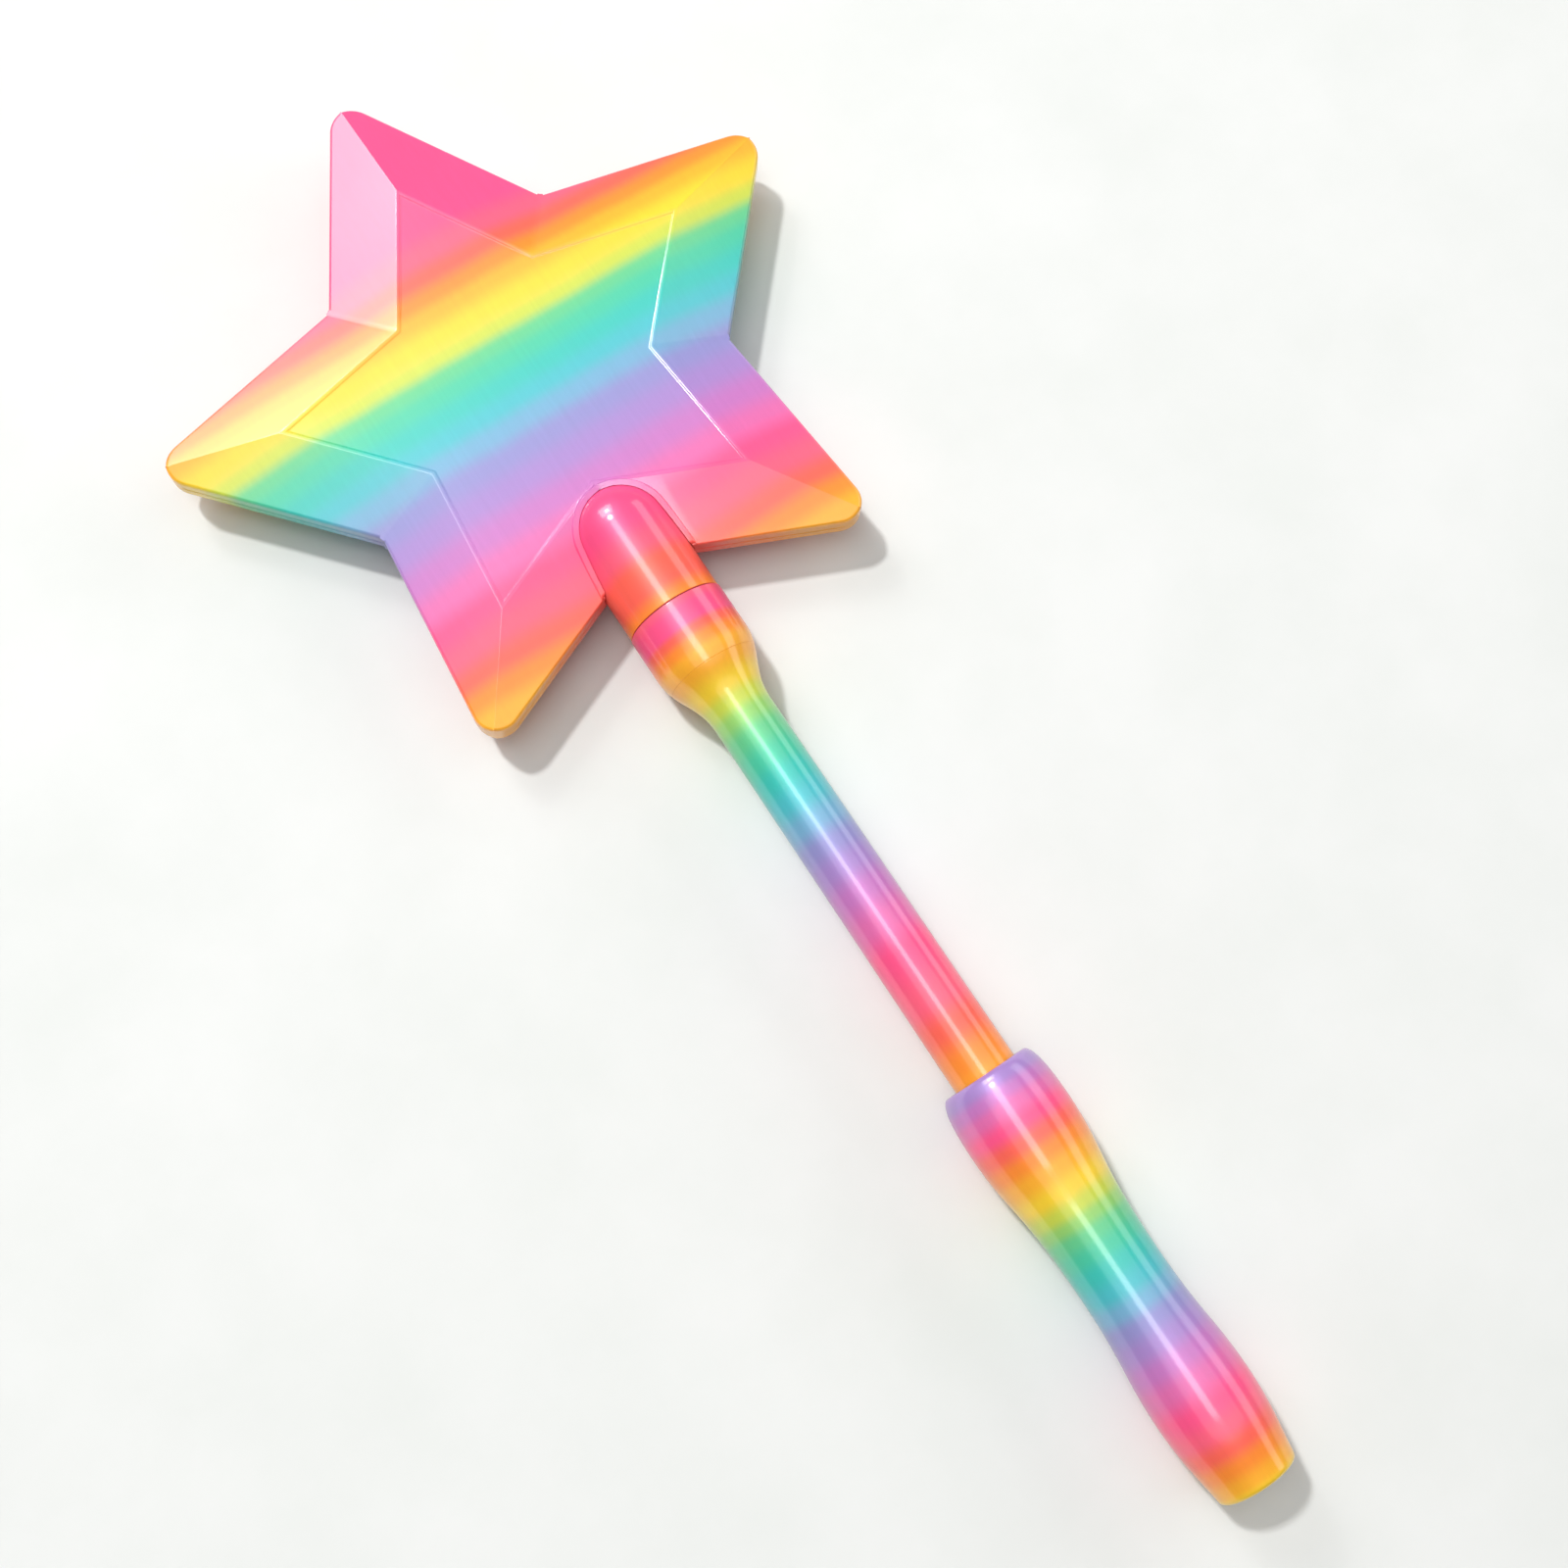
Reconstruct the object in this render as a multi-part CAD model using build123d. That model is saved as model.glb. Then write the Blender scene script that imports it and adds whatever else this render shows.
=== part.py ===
from build123d import *
from math import atan2, cos, pi, sin, sqrt
import os

# Star-headed toy wand, millimetres.
# The stick's axis runs along Y: the butt of the grip is at -Y, the star's top arm at +Y.
# The star's two flat faces look along +Z and -Z, and the axis lies in the star's middle plane.
# Every piece is first built around the axis (x = 0, z = 0) and lifted by AXIS_Z at the end.

# ---------------------------------------------------------------- driving dimensions

# Lengths along the axis, from the butt to the star
GRIP_LENGTH = 101.0
SHAFT_EXPOSED = 96.8       # stick that shows between the grip's mouth and the flare
FLARE_LENGTH = 12.7
COLLAR_LENGTH = 15.8
SEAM_GAP = 0.6             # between the collar and the socket
SOCKET_TO_CENTRE = 65.9    # from the socket's open end to the star's centre

# Star
STAR_TIP_R = 90.0          # to the sharp tips, before they are rounded
STAR_NOTCH_R = 49.8
STAR_TIP_ROUND = 5.6
STAR_ARMS = 5
STAR_EDGE_HALF = 3.0       # half the thickness of the outer edge
STAR_RISE = 4.5            # from the edge up to the flat middle
STAR_FACET_WIDTH = 16.7    # width of the sloping band round the flat middle
STAR_WALL = 1.8
PANEL_LIP = 0.7            # raised lip round the front's flat middle
PANEL_RECESS = 0.4         # how far the front's flat middle lies below that lip
PANEL_STEP = 0.35          # width of the slope between the two

# Socket of the head
SOCKET_R = 11.95
SOCKET_BARREL = 22.9       # straight part, from the open end to the domed nose
SOCKET_CHAMBER_R = 7.6
SOCKET_CHAMBER_LENGTH = 8.0
POCKET_WALL = 1.1          # wall of the star's pocket round the socket
POCKET_LIP = 0.6           # how far that wall stands above the star's surface
POCKET_CLEARANCE = 0.15
TANG_WIDTH = 14.0
TANG_THICKNESS = 5.0
TANG_LENGTH = 20.0         # beyond the nose
TANG_HOLE_PITCH = 9.0
TANG_EDGE = 5.0            # from the tang's end to its outer hole

# Screws through the star
SCREW_R = 1.25
SCREW_HEAD_R = 2.5
SCREW_HEAD_HEIGHT = 1.7
SCREW_HEAD_SUNK = 0.3
SCREW_GRIP = 4.5           # thread length past the middle plane
SCREW_SLOT = 0.7
SCREW_SLOT_LENGTH = 3.5
SCREW_HOLE_CLEARANCE = 0.1
ARM_SCREW_RADIUS = 46.0    # from the star's centre
BOSS_WALL = 1.3            # round a screw head's counterbore

# Swivel between the socket and the stick
SPINDLE_R = 6.0
SPINDLE_IN_SHAFT = 18.0
SPINDLE_NOSE = 5.0         # past the bush
BUSH_WALL = 2.5
BUSH_LENGTH = 20.0
RUNNING_CLEARANCE = 0.05   # radial
CLIP_WIDTH = 1.0
CLIP_DEPTH = 0.75          # how deep the clip sits in the spindle
CLIP_OUT_R = 7.2
CLIP_GAP = 4.0
END_FLOAT = 0.3            # axial play of the swivel
WASHER_THICKNESS = 0.5
WASHER_OUT_R = 11.6

# Collar and stick
COLLAR_R = 12.15
COLLAR_EDGE = 0.4
SPIGOT_R = 8.0             # of the stick, inside the collar
SHAFT_TOP_R = 7.4          # at the foot of the flare
SHAFT_MOUTH_R = 7.65       # at the grip's mouth, in the drawn-out position
SHAFT_BORE_R = 5.4
SHAFT_TAIL = 12.0          # inside the grip when drawn out
FLARE_SHOULDER = 4.8       # where the collar starts to curve in, above its lower edge
FLARE_LEAVE = 6.5          # handles of the flare's curve, at the collar and at the stick
FLARE_ARRIVE = 8.0
PRESS_CLEARANCE = 0.02

# Tail of the stick
TAIL_FLANGE_R = 8.4
TAIL_FLANGE = 5.0
TAIL_PLUG = 8.0
O_RING_SECTION_R = 0.9

# Grip, from its mouth to its butt
GRIP_MOUTH_R = 10.3
GRIP_BELLY_R = 12.7
GRIP_BELLY_AT = 13.2       # from the mouth
GRIP_WAIST_R = 9.95
GRIP_WAIST_AT = 51.2
GRIP_REAR_R = 11.6
GRIP_REAR_AT = 80.7
GRIP_BUTT_R = 9.6
GRIP_BUTT_ROUND = 1.2
GRIP_MOUTH_SWELL = 1.7     # how quickly the mouth opens out: its handle across the axis
GRIP_MOUTH_DROP = 1.0      # and along it
GRIP_BELLY_ARRIVE = 7.8    # handles along the axis of the curves between mouth, belly, waist,
GRIP_BELLY_LEAVE = 14.5    # rear and butt
GRIP_WAIST_ARRIVE = 24.5
GRIP_WAIST_LEAVE = 16.0
GRIP_REAR_ARRIVE = 12.0
GRIP_REAR_LEAVE = 9.0
GRIP_BUTT_ARRIVE = 5.0
GRIP_BUTT_LEAN = 0.6       # how far that last handle leans outwards
GRIP_BORE_R = 8.75
MOUTH_BUSH_OUT_R = 9.3
MOUTH_BUSH_LENGTH = 11.9
MOUTH_BUSH_CHAMFER = 0.5
CAP_PLUG_R = 7.2
CAP_PLUG_LENGTH = 9.0
CAP_RIM_R = 8.0
CAP_RIM_THICKNESS = 1.6
CAP_EDGE = 0.4

# ---------------------------------------------------------------- places along the axis

notch_x = STAR_NOTCH_R * sin(pi / STAR_ARMS)
notch_y = STAR_NOTCH_R * cos(pi / STAR_ARMS)
edge_length = sqrt(notch_x ** 2 + (STAR_TIP_R - notch_y) ** 2)
star_apothem = STAR_TIP_R * notch_x / edge_length      # from the centre to each edge line
tip_half_angle = atan2(notch_x, STAR_TIP_R - notch_y)
rounded_tip_r = STAR_TIP_R - STAR_TIP_ROUND * (1 / sin(tip_half_angle) - 1)

total_length = (GRIP_LENGTH + SHAFT_EXPOSED + FLARE_LENGTH + COLLAR_LENGTH + SEAM_GAP
                + SOCKET_TO_CENTRE + rounded_tip_r)
butt_y = -total_length / 2
mouth_y = butt_y + GRIP_LENGTH
flare_y = mouth_y + SHAFT_EXPOSED
collar_y = flare_y + FLARE_LENGTH
collar_top_y = collar_y + COLLAR_LENGTH
socket_y = collar_top_y + SEAM_GAP
star_y = socket_y + SOCKET_TO_CENTRE
nose_centre_y = socket_y + SOCKET_BARREL
nose_tip_y = nose_centre_y + SOCKET_R
tang_end_y = nose_tip_y + TANG_LENGTH
bush_end_y = socket_y + BUSH_LENGTH
tail_y = mouth_y - SHAFT_TAIL

AXIS_Z = GRIP_BELLY_R      # the grip's belly rests on the ground
star_half = STAR_EDGE_HALF + STAR_RISE
bush_out_r = SPINDLE_R + RUNNING_CLEARANCE + BUSH_WALL
counterbore_r = SCREW_HEAD_R + SCREW_HOLE_CLEARANCE
boss_r = counterbore_r + BOSS_WALL
head_seat_z = star_half - SCREW_HEAD_SUNK - SCREW_HEAD_HEIGHT


# ---------------------------------------------------------------- helpers

def turned(*edges):
    """Solid turned about the Y axis from a closed outline of (radius, y) edges."""
    return revolve(make_face(Curve() + list(edges)), Axis.Y, 360)


def turned_polygon(*points):
    """Solid turned about the Y axis from the corners of its half section."""
    return revolve(make_face(Polyline(*points, close=True)), Axis.Y, 360)


def ring(inner_r, outer_r, y_low, y_high):
    """Plain ring or, with no inner radius, a plain disc about the Y axis."""
    return turned_polygon((inner_r, y_low), (outer_r, y_low), (outer_r, y_high), (inner_r, y_high))


def write(shape, node):
    """Lift a piece to its place over the ground and write its STEP file."""
    solids = (Pos(0, 0, AXIS_Z) * shape).solids()
    export_step(solids[0] if len(solids) == 1 else Compound(children=solids), f"parts/{node}.step")


def star_corners(scale, z):
    """The star outline's ten corners, tips and notches in turn, shrunk about its centre."""
    corners = []
    for k in range(2 * STAR_ARMS):
        radius = scale * (STAR_NOTCH_R if k % 2 else STAR_TIP_R)
        angle = pi / 2 + k * pi / STAR_ARMS
        corners.append(Vector(radius * cos(angle), star_y + radius * sin(angle), z))
    return corners


def star_frustum(low_scale, low_z, high_scale, high_z):
    """Star-shaped solid between two parallel outlines, with flat mitred facets."""
    low = star_corners(low_scale, low_z)
    high = star_corners(high_scale, high_z)
    faces = [Face(Wire.make_polygon(low)), Face(Wire.make_polygon(high))]
    for k in range(len(low)):
        after = (k + 1) % len(low)
        faces.append(Face(Wire.make_polygon([low[k], low[after], high[after], high[k]])))
    return Solid(Shell(faces))


def rounded_prism(scale, height):
    """Upright star prism whose tips are rounded."""
    outline = Sketch() + make_face(Polyline(*star_corners(scale, 0), close=True))
    centre = Vector(0, star_y, 0)
    middle_r = scale * (STAR_TIP_R + STAR_NOTCH_R) / 2
    tips = [v for v in outline.vertices() if (Vector(v) - centre).length > middle_r]
    return extrude(fillet(tips, STAR_TIP_ROUND), amount=height)


def socket_form(grow):
    """Barrel and domed nose of the socket, grown outwards by a clearance."""
    radius = SOCKET_R + grow
    reach = radius * cos(pi / 4)
    start = (0, socket_y - grow)
    return turned(
        Line(start, (radius, socket_y - grow)),
        Line((radius, socket_y - grow), (radius, nose_centre_y)),
        ThreePointArc((radius, nose_centre_y), (reach, nose_centre_y + reach),
                      (0, nose_centre_y + radius)),
        Line((0, nose_centre_y + radius), start),
    )


def upright(radius, z_low, z_high, places):
    """Equal cylinders along Z at a list of (x, y) places."""
    height = z_high - z_low
    middle = (z_low + z_high) / 2
    return [Pos(x, y, middle) * Cylinder(radius, height) for x, y in places]


def s_curve(start, start_handle, end_handle, end):
    """Smooth change of radius along the axis: level at both ends, handles given as lengths."""
    way = 1 if end[1] > start[1] else -1
    return Bezier(start, (start[0], start[1] + way * start_handle),
                  (end[0], end[1] - way * end_handle), end)


# ---------------------------------------------------------------- screws' places

arm_places = []
for k in range(STAR_ARMS):
    angle = pi / 2 + 2 * k * pi / STAR_ARMS
    arm_places.append((ARM_SCREW_RADIUS * cos(angle), star_y + ARM_SCREW_RADIUS * sin(angle)))
tang_places = [(0, tang_end_y - TANG_EDGE), (0, tang_end_y - TANG_EDGE - TANG_HOLE_PITCH)]
screw_places = arm_places + tang_places

# ---------------------------------------------------------------- star shells

flat_scale = 1 - STAR_FACET_WIDTH / star_apothem
cavity_scale = 1 - STAR_WALL / star_apothem
cavity_edge_z = STAR_EDGE_HALF + STAR_RISE * STAR_WALL / STAR_FACET_WIDTH - STAR_WALL
cavity_top_z = star_half - PANEL_RECESS - STAR_WALL
panel_z = star_half - PANEL_RECESS
lip_end_scale = 1 - (STAR_FACET_WIDTH + PANEL_LIP) / star_apothem
panel_scale = 1 - (STAR_FACET_WIDTH + PANEL_LIP + PANEL_STEP) / star_apothem

outer = star_frustum(1, 0, 1, STAR_EDGE_HALF) \
    + star_frustum(1, STAR_EDGE_HALF, flat_scale, star_half)
outer = outer & rounded_prism(1, star_half)
cavity = star_frustum(cavity_scale, 0, cavity_scale, cavity_edge_z) \
    + star_frustum(cavity_scale, cavity_edge_z, flat_scale, cavity_top_z)
cavity = cavity & rounded_prism(cavity_scale, cavity_top_z)
panel_pan = star_frustum(panel_scale, panel_z, lip_end_scale, star_half) \
    + star_frustum(lip_end_scale, star_half, lip_end_scale, star_half + PANEL_RECESS)

tang_slot = Pos(0, (nose_centre_y + tang_end_y + POCKET_CLEARANCE) / 2, 0) * Box(
    TANG_WIDTH + 2 * POCKET_CLEARANCE,
    tang_end_y + POCKET_CLEARANCE - nose_centre_y,
    TANG_THICKNESS + 2 * POCKET_CLEARANCE)
pocket = socket_form(POCKET_CLEARANCE)
pocket_wall = socket_form(POCKET_CLEARANCE + POCKET_WALL)
lip = pocket_wall & (outer + Pos(0, 0, POCKET_LIP) * outer)

half_shell = outer - cavity
for boss in upright(boss_r, 0, cavity_top_z, arm_places):
    half_shell += boss
for boss in upright(boss_r, TANG_THICKNESS / 2, cavity_top_z, tang_places):
    half_shell += boss

front_shell = half_shell - panel_pan + lip - pocket - tang_slot
for hole in upright(SCREW_R + PRESS_CLEARANCE, 0, SCREW_GRIP + SCREW_HOLE_CLEARANCE, screw_places):
    front_shell -= hole

back_shell = mirror(half_shell + lip - pocket - tang_slot, Plane.XY)
for hole in upright(SCREW_R + SCREW_HOLE_CLEARANCE, -star_half, 0, screw_places):
    back_shell -= hole
for hole in upright(counterbore_r, -star_half, -head_seat_z, screw_places):
    back_shell -= hole

# ---------------------------------------------------------------- screws

screws = []
for x, y in screw_places:
    shank = Pos(x, y, (SCREW_GRIP - head_seat_z) / 2) * Cylinder(SCREW_R, SCREW_GRIP + head_seat_z)
    head_z = -head_seat_z - SCREW_HEAD_HEIGHT / 2
    head = Pos(x, y, head_z) * Cylinder(SCREW_HEAD_R, SCREW_HEAD_HEIGHT)
    slot_z = -head_seat_z - SCREW_HEAD_HEIGHT + SCREW_SLOT / 2
    for turn in (0, 90):
        head -= Pos(x, y, slot_z) * Rot(0, 0, turn) * Box(SCREW_SLOT, SCREW_SLOT_LENGTH, SCREW_SLOT)
    screws.append(shank + head)

# ---------------------------------------------------------------- socket and its bush

socket = socket_form(0)
tang_middle = (nose_centre_y + tang_end_y) / 2
socket += Pos(0, tang_middle, 0) * Box(TANG_WIDTH, tang_end_y - nose_centre_y, TANG_THICKNESS)
socket -= ring(0, bush_out_r, socket_y, bush_end_y)
socket -= ring(0, SOCKET_CHAMBER_R, bush_end_y, bush_end_y + SOCKET_CHAMBER_LENGTH)
for hole in upright(SCREW_R + SCREW_HOLE_CLEARANCE, -TANG_THICKNESS, TANG_THICKNESS, tang_places):
    socket -= hole

swivel_bush = ring(SPINDLE_R + RUNNING_CLEARANCE, bush_out_r, socket_y, bush_end_y)

# ---------------------------------------------------------------- spindle, clip and washer

spindle_low_y = collar_top_y - SPINDLE_IN_SHAFT
spindle_top_y = bush_end_y + SPINDLE_NOSE
clip_y = bush_end_y + END_FLOAT
groove_r = SPINDLE_R - CLIP_DEPTH
spindle = ring(0, SPINDLE_R, spindle_low_y, spindle_top_y)
spindle = chamfer(spindle.edges().group_by(Axis.Y)[-1], CLIP_DEPTH)
spindle -= ring(groove_r, SPINDLE_R + CLIP_WIDTH, clip_y, clip_y + CLIP_WIDTH)

clip = ring(groove_r, CLIP_OUT_R, clip_y, clip_y + CLIP_WIDTH)
clip -= Pos(0, clip_y + CLIP_WIDTH / 2, CLIP_OUT_R) * Box(CLIP_GAP, 2 * CLIP_WIDTH, 2 * CLIP_OUT_R)

washer = ring(SPINDLE_R + PRESS_CLEARANCE, WASHER_OUT_R, collar_top_y,
              collar_top_y + WASHER_THICKNESS)

# ---------------------------------------------------------------- collar and stick

shoulder_y = collar_y + FLARE_SHOULDER
flare_curve = s_curve((COLLAR_R, shoulder_y), FLARE_LEAVE, FLARE_ARRIVE, (SHAFT_TOP_R, flare_y))
flare_form = turned(
    Line((0, flare_y), (SHAFT_TOP_R, flare_y)),
    flare_curve,
    Line((COLLAR_R, shoulder_y), (COLLAR_R, collar_top_y)),
    Line((COLLAR_R, collar_top_y), (0, collar_top_y)),
    Line((0, collar_top_y), (0, flare_y)),
)
above_seam = ring(0, 2 * COLLAR_R, collar_y, collar_top_y)
collar = flare_form & above_seam
collar = chamfer(collar.edges().group_by(Axis.Y)[-1], COLLAR_EDGE)
collar -= ring(0, SPIGOT_R + PRESS_CLEARANCE, collar_y, collar_top_y)

# The tube widens evenly down to the grip's mouth, and is straight inside the grip.
stick = flare_form - above_seam
stick += ring(0, SPIGOT_R, collar_y, collar_top_y)
stick += turned_polygon((0, tail_y), (SHAFT_MOUTH_R, tail_y), (SHAFT_MOUTH_R, mouth_y),
                        (SHAFT_TOP_R, flare_y), (0, flare_y))
stick -= ring(0, SPINDLE_R + PRESS_CLEARANCE, spindle_low_y, collar_top_y)
stick -= ring(0, SHAFT_BORE_R, tail_y, spindle_low_y)

# ---------------------------------------------------------------- tail of the stick

tail_stop = ring(0, SHAFT_BORE_R - PRESS_CLEARANCE, tail_y, tail_y + TAIL_PLUG)
tail_stop += ring(0, TAIL_FLANGE_R, tail_y - TAIL_FLANGE, tail_y)
o_ring_out_r = GRIP_BORE_R - RUNNING_CLEARANCE
o_ring_mid_r = o_ring_out_r - O_RING_SECTION_R
o_ring_y = tail_y - TAIL_FLANGE / 2
tail_stop -= ring(o_ring_mid_r - O_RING_SECTION_R, TAIL_FLANGE_R + O_RING_SECTION_R,
                  o_ring_y - O_RING_SECTION_R, o_ring_y + O_RING_SECTION_R)
o_ring = Pos(0, o_ring_y, 0) * Rot(90, 0, 0) * Torus(o_ring_mid_r, O_RING_SECTION_R)

# ---------------------------------------------------------------- grip


def grip_place(from_mouth):
    """Place on the axis at a distance from the grip's mouth."""
    return mouth_y - from_mouth


belly = (GRIP_BELLY_R, grip_place(GRIP_BELLY_AT))
waist = (GRIP_WAIST_R, grip_place(GRIP_WAIST_AT))
rear = (GRIP_REAR_R, grip_place(GRIP_REAR_AT))
butt_round_y = butt_y + GRIP_BUTT_ROUND
butt_corner = (GRIP_BUTT_R, butt_round_y)
butt_face_r = GRIP_BUTT_R - GRIP_BUTT_ROUND
grip = turned(
    Line((0, mouth_y), (GRIP_MOUTH_R, mouth_y)),
    Bezier((GRIP_MOUTH_R, mouth_y),
           (GRIP_MOUTH_R + GRIP_MOUTH_SWELL, mouth_y - GRIP_MOUTH_DROP),
           (GRIP_BELLY_R, belly[1] + GRIP_BELLY_ARRIVE), belly),
    s_curve(belly, GRIP_BELLY_LEAVE, GRIP_WAIST_ARRIVE, waist),
    s_curve(waist, GRIP_WAIST_LEAVE, GRIP_REAR_ARRIVE, rear),
    Bezier(rear, (GRIP_REAR_R, rear[1] - GRIP_REAR_LEAVE),
           (GRIP_BUTT_R + GRIP_BUTT_LEAN, butt_round_y + GRIP_BUTT_ARRIVE), butt_corner),
    RadiusArc(butt_corner, (butt_face_r, butt_y), GRIP_BUTT_ROUND),
    Line((butt_face_r, butt_y), (0, butt_y)),
    Line((0, butt_y), (0, mouth_y)),
)
cavity_low_y = butt_y + CAP_RIM_THICKNESS + CAP_PLUG_LENGTH
grip -= ring(0, MOUTH_BUSH_OUT_R, mouth_y - MOUTH_BUSH_LENGTH, mouth_y)
grip -= ring(0, GRIP_BORE_R, cavity_low_y, mouth_y - MOUTH_BUSH_LENGTH)
grip -= ring(0, CAP_PLUG_R, butt_y, cavity_low_y)
grip -= ring(0, CAP_RIM_R, butt_y, butt_y + CAP_RIM_THICKNESS)

mouth_bush_in_r = SHAFT_MOUTH_R + 2 * RUNNING_CLEARANCE
mouth_bush_low_y = mouth_y - MOUTH_BUSH_LENGTH
mouth_bush = turned_polygon(
    (mouth_bush_in_r, mouth_bush_low_y),
    (MOUTH_BUSH_OUT_R, mouth_bush_low_y),
    (MOUTH_BUSH_OUT_R, mouth_y),
    (mouth_bush_in_r + MOUTH_BUSH_CHAMFER, mouth_y),
    (mouth_bush_in_r, mouth_y - MOUTH_BUSH_CHAMFER),
)

butt_cap = ring(0, CAP_RIM_R, butt_y, butt_y + CAP_RIM_THICKNESS)
butt_cap = chamfer(butt_cap.edges().group_by(Axis.Y)[0], CAP_EDGE)
butt_cap += ring(0, CAP_PLUG_R, butt_y + CAP_RIM_THICKNESS, cavity_low_y)

# ---------------------------------------------------------------- write the pieces

os.makedirs("parts", exist_ok=True)
pieces = {
    "star_front_shell": front_shell,
    "star_back_shell": back_shell,
    "head_socket": socket,
    "shell_screws": Compound(children=[s for screw in screws for s in screw.solids()]),
    "swivel_bush": swivel_bush,
    "collar_ring": collar,
    "flared_shaft": stick,
    "swivel_spindle": spindle,
    "spindle_clip": clip,
    "thrust_washer": washer,
    "tail_stop": tail_stop,
    "tail_o_ring": o_ring,
    "grip_shell": grip,
    "mouth_bush": mouth_bush,
    "butt_cap": butt_cap,
}
for node, shape in pieces.items():
    write(shape, node)
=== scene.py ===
"""Star-headed toy wand: its moulded shells, socket, stick and grip in rainbow pearl plastic.

Sizes in the classes are millimetres, measured from the stick's axis; at() turns them into metres
in the part's own frame. The butt of the grip is at -Y and the star's top arm at +Y.
"""

import logging
import math
from collections.abc import Callable, Iterator, Sequence
from contextlib import contextmanager
from dataclasses import dataclass
from enum import Enum
from typing import Any

import bmesh
import bpy
from mathutils import Matrix, Vector


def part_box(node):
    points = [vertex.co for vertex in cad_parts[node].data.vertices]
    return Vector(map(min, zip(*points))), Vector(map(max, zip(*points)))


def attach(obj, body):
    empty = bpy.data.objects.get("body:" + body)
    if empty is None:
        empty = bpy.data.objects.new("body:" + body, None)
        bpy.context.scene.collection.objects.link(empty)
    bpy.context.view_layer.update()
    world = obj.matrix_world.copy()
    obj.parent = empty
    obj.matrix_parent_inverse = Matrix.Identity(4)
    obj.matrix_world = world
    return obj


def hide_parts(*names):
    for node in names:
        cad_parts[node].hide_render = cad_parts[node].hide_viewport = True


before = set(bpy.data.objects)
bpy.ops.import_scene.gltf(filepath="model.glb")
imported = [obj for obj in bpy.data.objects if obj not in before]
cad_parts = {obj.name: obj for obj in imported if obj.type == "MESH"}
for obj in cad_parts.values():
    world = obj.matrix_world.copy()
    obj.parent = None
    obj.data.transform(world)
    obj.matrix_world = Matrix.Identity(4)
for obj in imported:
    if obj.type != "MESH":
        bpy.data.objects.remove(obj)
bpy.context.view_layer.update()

LOG = logging.getLogger("wand")
MM = 0.001
AXIS_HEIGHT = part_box("grip_shell")[1].z / 2 / MM    # the grip's belly rests on the ground
TURN_STEPS = 96
UPRIGHT_SIDES = 32
SAME_PLACE = 1e-6           # metres; points nearer than this are one
TURNED_CREASE = 35.0        # degrees; sharper edges of turned pieces stay sharp
Outline = list[tuple[float, float]]
Piece = bpy.types.Object
Edge = bmesh.types.BMEdge
Tree = bpy.types.NodeTree


class Kind(Enum):
    """What edit mode selects here."""

    VERTEX = "VERT"
    EDGE = "EDGE"


class Join(Enum):
    """How two solids are put together."""

    ADD = "UNION"
    CUT = "DIFFERENCE"
    COMMON = "INTERSECT"


class Side(Enum):
    """The two half shells of the star, by the way that they face."""

    FRONT = 1
    BACK = -1


class Tint(Enum):
    """Pigments of the rainbow, as sRGB hex."""

    HOT_PINK = "#FC5087"
    PINK = "#FC5E7C"
    CORAL = "#FC6352"
    ORANGE = "#FD8B2C"
    AMBER = "#FCAD28"
    YELLOW = "#F8CF2E"
    LIME = "#C8D34A"
    LEAF = "#92CC6A"
    GREEN = "#62C78A"
    MINT = "#46C49E"
    TEAL = "#38BFB2"
    AQUA = "#48B9C2"
    SKY = "#72A9CA"
    PERIWINKLE = "#8F8CC5"
    LILAC = "#A482C4"
    ORCHID = "#C273BA"
    ROSE = "#DF69A8"


# ---- measures and selections


def at(x: float, y: float, z: float = 0.0) -> Vector:
    """Place in the frame, in metres, of a point given in millimetres from the stick's axis."""
    return Vector((x, y, z + AXIS_HEIGHT)) * MM


def node_span(node: str) -> tuple[float, float]:
    """Lowest and highest place along the axis, in millimetres, of a CAD node."""
    low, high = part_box(node)
    return low.y / MM, high.y / MM


def linear(hex_colour: str) -> tuple[float, float, float, float]:
    """Turn an sRGB hex colour into linear RGBA.

    Args:
        hex_colour: Six hex digits after a hash sign.

    Returns:
        Red, green, blue and an alpha of one.
    """
    parts = [int(hex_colour[i : i + 2], 16) / 255 for i in (1, 3, 5)]
    red, green, blue = (
        c / 12.92 if c <= 0.04045 else ((c + 0.055) / 1.055) ** 2.4 for c in parts
    )
    return red, green, blue, 1.0


def deselect_all() -> None:
    """Select nothing, so that an operator acts only on what is picked next."""
    bpy.ops.object.select_all(action="DESELECT")


def hold(piece: Piece) -> None:
    """Select one piece alone and make it the active one."""
    deselect_all()
    piece.select_set(True)
    bpy.context.view_layer.objects.active = piece


def whole_mesh() -> None:
    """Select all of the mesh in edit mode."""
    bpy.ops.mesh.select_all(action="SELECT")


@contextmanager
def editing(piece: Piece) -> Iterator[None]:
    """Hold one piece in edit mode, with nothing else selected.

    Args:
        piece: The piece that is worked on.
    """
    hold(piece)
    bpy.ops.object.mode_set(mode="EDIT")
    bpy.ops.mesh.select_mode(type=Kind.VERTEX.value)
    yield
    bpy.ops.object.mode_set(mode="OBJECT")


def pick(piece: Piece, kind: Kind, wanted: Callable[[Any], bool]) -> None:
    """Select the vertices or edges of the piece in edit mode that pass a test.

    Args:
        piece: The piece that is in edit mode.
        kind: What is selected.
        wanted: The test, given one vertex or edge.
    """
    bpy.ops.mesh.select_mode(type=kind.value)
    bpy.ops.mesh.select_all(action="DESELECT")
    mesh = bmesh.from_edit_mesh(piece.data)
    mesh.normal_update()
    lot = mesh.verts if kind is Kind.VERTEX else mesh.edges
    for element in [element for element in lot if wanted(element)]:
        element.select_set(True)
    mesh.select_flush_mode()
    bmesh.update_edit_mesh(piece.data)


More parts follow.
